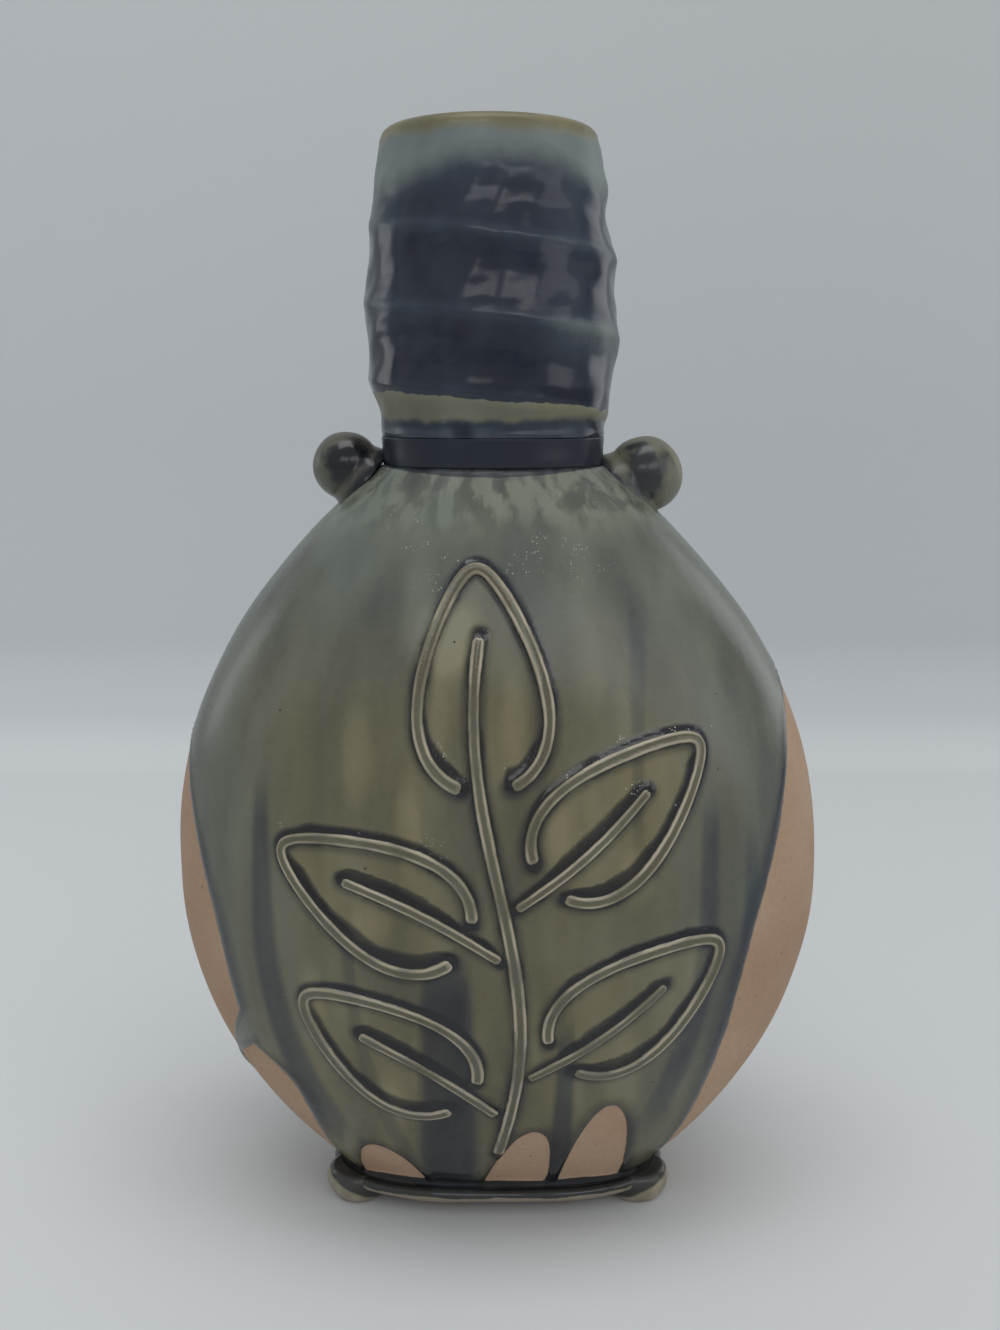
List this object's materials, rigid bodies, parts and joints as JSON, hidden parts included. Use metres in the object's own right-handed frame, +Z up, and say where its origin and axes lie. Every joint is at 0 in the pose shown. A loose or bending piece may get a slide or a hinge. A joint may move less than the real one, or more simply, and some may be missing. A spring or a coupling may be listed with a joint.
{
  "type": "studio pottery vase",
  "caption": "Flattened flask-shaped stoneware vase with a grooved neck, pellet lugs, a slab foot on pads and a trailed slip sprig on its front; holds water and stems.",
  "frame": {"origin": "on the ground plane, under the middle of the body's foot, between the four pads", "axes": "+Z up along the vase's axis, -Y out of the front face that carries the trailed sprig, +X along the width, towards the larger lug"},
  "size_m": [0.1706, 0.1104, 0.281],
  "materials": {
    "body_glaze": "glossy olive and blue-grey reactive glaze that breaks to bare clay near the foot",
    "neck_glaze": "glossy dark blue-grey glaze, olive where it thins on the lip",
    "collar_glaze": "thick glossy near-black glaze",
    "foot_glaze": "dark glaze, broken light along the slab's edge",
    "pad_glaze": "semi-gloss khaki glaze",
    "lug_glaze": "glossy olive glaze, dark where it pools",
    "slip_glaze": "glaze broken light over raised slip"
  },
  "bodies": {
    "root": {"flask_body": "body_glaze", "neck": "neck_glaze", "neck_collar": "collar_glaze", "lug_left": "lug_glaze", "lug_right": "lug_glaze", "foot_slab": "foot_glaze", "pad_front_left": "pad_glaze", "pad_front_right": "pad_glaze", "pad_back_left": "pad_glaze", "pad_back_right": "pad_glaze", "trail_stem": "slip_glaze", "trail_leaf_top": "slip_glaze", "trail_leaf_upper_left": "slip_glaze", "trail_leaf_upper_right": "slip_glaze", "trail_leaf_lower_left": "slip_glaze", "trail_leaf_lower_right": "slip_glaze", "trail_rib_upper_left": "slip_glaze", "trail_rib_upper_right": "slip_glaze", "trail_rib_lower_left": "slip_glaze", "trail_rib_lower_right": "slip_glaze"}
  },
  "joints": []
}
